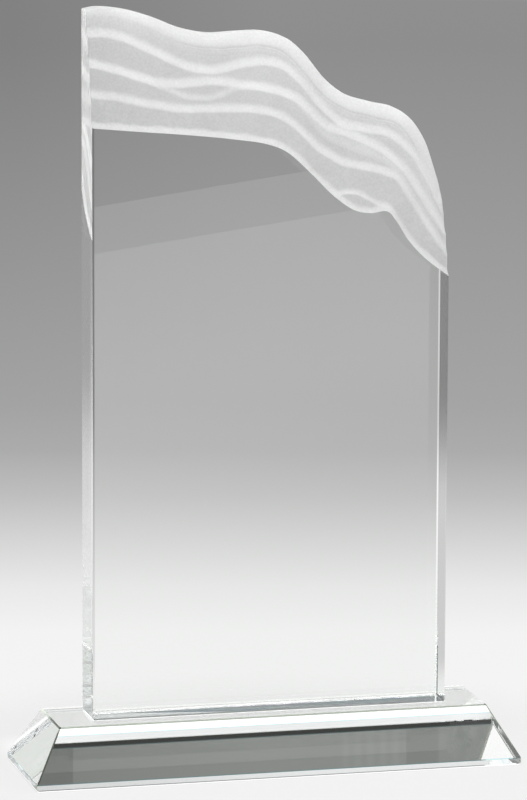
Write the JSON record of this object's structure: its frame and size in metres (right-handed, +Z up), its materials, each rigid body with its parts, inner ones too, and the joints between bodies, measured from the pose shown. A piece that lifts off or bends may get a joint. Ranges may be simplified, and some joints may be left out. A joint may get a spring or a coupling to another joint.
{
  "type": "crystal award",
  "caption": "Free-standing award: an upright clear crystal plate with a frosted, wave-carved crest that falls to the right, bonded on a low crystal base with sloping sides.",
  "frame": {"origin": "middle of the base's underside, on the surface that the award stands on", "axes": "+Z up, +X to the viewer's right, the carved front faces -Y"},
  "size_m": [0.178, 0.0516, 0.2736],
  "materials": {
    "optical_crystal": "polished clear with a faint green edge tint; the crest's front is sand-carved and frosted white",
    "uv_adhesive": "cured clear film"
  },
  "bodies": {
    "root": {"crystal_base": "optical_crystal", "adhesive_bond": "uv_adhesive", "crystal_plate": "optical_crystal"}
  },
  "joints": []
}
